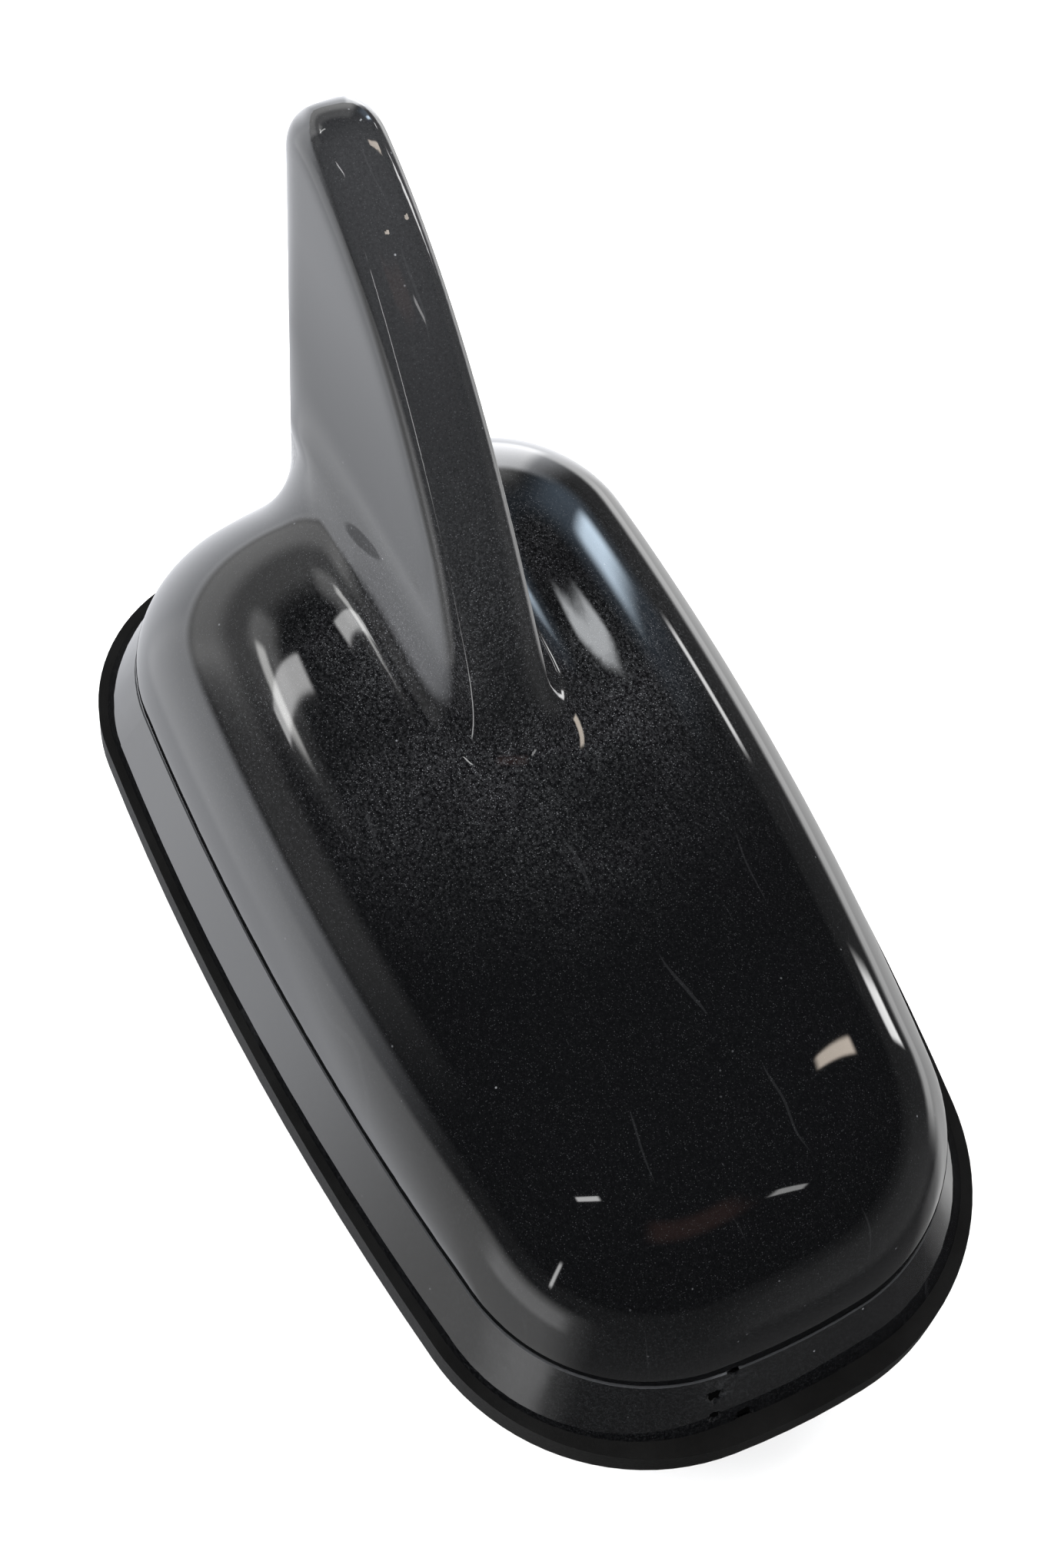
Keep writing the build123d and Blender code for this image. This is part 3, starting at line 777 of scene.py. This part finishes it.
def paleFloor():
    low = cadBox[0].z - floorLook["gap"] * mm
    r = floorLook["reach"]
    mesh = bpy.data.meshes.new("floor")
    mesh.from_pydata([(-r, -r, low), (r, -r, low), (r, r, low), (-r, r, low)], [], [(0, 1, 2, 3)])
    f = Finish("paleFloor")
    colour = f.noise(floorLook["cloudSize"], 2.0).between(0.3, 0.7).mix(floorLook["pale"], floorLook["shade"])
    mesh.materials.append(f.done(Base_Color=colour, Roughness=0.9, Specular_IOR_Level=0.1))
    floor = placed("floor", mesh)
    floor.visible_glossy = False                       # gloss sees the studio dome instead


# studio dome: what the gloss reflects, angles in degrees, azimuth 0 towards -Y and 90 towards +X
dome = {
    "plain": 0.95,                                     # what everything but gloss sees
    "low": 0.11,
    "high": 0.03,
    "horizon": 2.0,
    # azimuth, half width, its soft edge, lowest and highest elevation, their soft edge, strength, colour
    "patches": {
        "paleTable": (286, 58, 9, -100, 2, 3, 2.3, (0.97, 0.99, 1.04)),
        "leftPanel": (318, 14, 6, -34, 0, 4, 0.5, (1.0, 1.0, 1.0)),
        "rearPanel": (236, 6, 2, -30, 2, 4, 1.8, (1.0, 1.0, 1.0)),
        "tableRear": (200, 30, 8, -100, -23, 3, 1.3, (1.0, 1.0, 1.0)),
        "rearLip": (196, 24, 6, -31, -24, 2, 0.6, (1.0, 1.0, 1.0)),
        "tableSide": (132, 32, 15, -30, -5, 5, 0.14, (1.0, 1.0, 1.0)),
        "sideLow": (168, 12, 8, -100, -36, 4, 0.45, (1.0, 1.0, 1.0)),
        "tableFront": (8, 28, 14, -100, -10, 3, 1.0, (1.0, 1.0, 1.0)),
        "frontPanel": (16, 18, 4, -27, -14, 3, 0.9, (1.0, 1.0, 1.02)),
        "wallLow": (280, 46, 5, 2, 22, 6, 1.0, (1.0, 1.0, 1.0)),
        "wallHigh": (278, 46, 6, 2, 44, 6, 0.8, (1.0, 1.0, 1.0)),
        "wallPanel": (305, 9, 4, 36, 47, 3, 1.2, (1.0, 1.0, 1.0)),
        "wallCorner": (331, 14, 6, 4, 26, 5, 0.4, (1.0, 1.0, 1.0)),
        "blind": (316, 6, 2, 38.5, 42, 1, 7.0, (1.0, 1.0, 0.98)),
        "darkShelf": (85, 24, 6, 45, 55, 3, 0.17, (1.5, 0.75, 0.6)),
        "blueWindow": (210.5, 2.4, 1.6, 4, 19, 4, 8.0, (0.83, 1.0, 1.17)),
        "blueGlow": (216, 9, 6, 0, 24, 7, 0.6, (0.75, 1.0, 1.3)),
        "rearWindow": (214.5, 1.2, 0.8, 36, 41.5, 1, 7.5, (0.97, 1.0, 1.03)),
        "rearEdge": (202.5, 2.5, 0.8, -6, -3, 1, 6.5, (1.0, 1.0, 1.0)),
        "sideEdge": (188.5, 3, 1, -16, -8, 1.5, 7.0, (1.0, 1.0, 1.0)),
        "warmLamp": (182.5, 2.2, 0.8, 26, 50, 2, 8.0, (1.14, 1.0, 0.86)),
        "cornerLamp": (23, 0.7, 0.4, -2, 14, 2, 8.0, (1.0, 1.0, 1.0)),
    },
    # strips on a ceiling one unit up: the two ends in plan, half width, strength
    "strips": (((-0.64, -0.35), (-0.83, -1.10), 0.030, 7.5), ((0.21, -0.91), (0.264, -0.62), 0.022, 9.0),
               ((0.90, 0.44), (1.07, 0.65), 0.03, 4.5)),
}


def studioDome():
    world = bpy.data.worlds.new("studioDome")
    bpy.context.scene.world = world
    world.use_nodes = True
    tree = world.node_tree
    tree.nodes.clear()
    way = Wire(tree).add("ShaderNodeTexCoord", out=0)
    x, y, z = way.split()
    rise = x.sum("ARCSINE", z) * (180 / math.pi)
    light = rise.between(dome["horizon"] - 3, dome["horizon"] + 3).mix(grey(dome["low"]), grey(dome["high"]))
    deep = 0.3 + rise.between(-72, -12) * 0.7          # the table dims towards the part's foot

    def lit(light, mask, colour, strength):
        full = tuple(c * strength for c in colour)
        glow = mask.add("ShaderNodeVectorMath", {"operation": "SCALE"}, {0: full, 3: mask})
        return light.add("ShaderNodeVectorMath", {"operation": "ADD"}, {0: light, 1: glow})

    for azimuth, wide, soft, low, high, edge, strength, colour in dome["patches"].values():
        a = math.radians(azimuth)
        across, along = x * math.cos(a) + y * math.sin(a), x * math.sin(a) - y * math.cos(a)
        side = abs(x.sum("ARCTAN2", across, along)) * (180 / math.pi)
        mask = (1 - side.between(wide - soft, wide + soft)) * (1 - rise.between(high - edge, high + edge))
        mask = mask * rise.between(low - edge, low + edge) if low > -90 else mask * deep
        light = lit(light, mask, colour, strength)
    ceiling = x.sum("MAXIMUM", z, 0.001)
    u, v = x / ceiling, y / ceiling
    for (u0, v0), (u1, v1), wide, strength in dome["strips"]:
        length = math.hypot(u1 - u0, v1 - v0)
        du, dv = (u1 - u0) / length, (v1 - v0) / length
        along, across = (u - u0) * du + (v - v0) * dv, (v - v0) * du - (u - u0) * dv
        half = length / 2
        mask = 1 - abs(across).between(wide * 0.8, wide * 1.2)
        mask = mask * (1 - abs(along - half).between(half - wide, half + wide))
        light = lit(light, mask, (1.0, 1.0, 1.0), strength)
    gloss = light.add("ShaderNodeLightPath").out("Is Glossy Ray")
    plain = light.add("ShaderNodeBackground", None, {0: grey(dome["plain"]), 1: 1.0})
    seen = light.add("ShaderNodeBackground", None, {0: light, 1: 1.0})
    last = light.add("ShaderNodeMixShader", None, {0: gloss, 1: plain, 2: seen})
    out = tree.nodes.new("ShaderNodeOutputWorld")
    tree.links.new(last.socket, out.inputs[0])


# soft boxes that light the floor and the matt pieces and stay out of the gloss: place, size, watts
softBoxes = (((-0.25, -0.45, 0.85), 0.7, 9.0), ((-0.35, 0.5, 0.7), 0.6, 6.0), ((0.55, -0.1, 0.75), 0.6, 4.0))


def lights():
    for i, (place, size, watts) in enumerate(softBoxes):
        light = bpy.data.lights.new(f"softBox{i}", "AREA")
        light.size, light.energy = size, watts
        lamp = placed(f"softBox{i}", light)
        lamp.location = place
        lamp.rotation_euler = (-Vector(place)).to_track_quat("-Z", "Y").to_euler()
        lamp.visible_glossy = False


# camera as the photograph was taken, lengths in mm, angles in degrees
shot = {"azimuth": 54.12, "elevation": 61.48, "roll": 9.91, "distance": 287.7, "target": (-10.73, 4.81, 9.55),
        "focal": 3764.2, "height": 2040, "sensor": 36.0}     # focal length and height in pixels


def camera():
    a, e, r = (math.radians(shot[k]) for k in ("azimuth", "elevation", "roll"))
    back = Vector((math.sin(a) * math.cos(e), -math.cos(a) * math.cos(e), math.sin(e)))
    right = Vector((math.cos(a), math.sin(a), 0.0))
    above = back.cross(right)
    right, above = right * math.cos(r) + above * math.sin(r), above * math.cos(r) - right * math.sin(r)
    data = bpy.data.cameras.new("camera")
    data.sensor_fit, data.sensor_width = "AUTO", shot["sensor"]
    data.lens = shot["sensor"] * shot["focal"] / shot["height"]
    data.clip_start, data.clip_end = 0.01, 50.0
    obj = placed("camera", data)
    turn = Matrix((right, above, back)).transposed().to_4x4()
    obj.matrix_world = Matrix.Translation((Vector(shot["target"]) + back * shot["distance"]) * mm) @ turn
    bpy.context.scene.camera = obj


paleFloor()
studioDome()
lights()
camera()
bpy.context.scene.view_settings.view_transform = "Standard"
print("floor, dome, lights and camera")

bpy.context.view_layer.update()
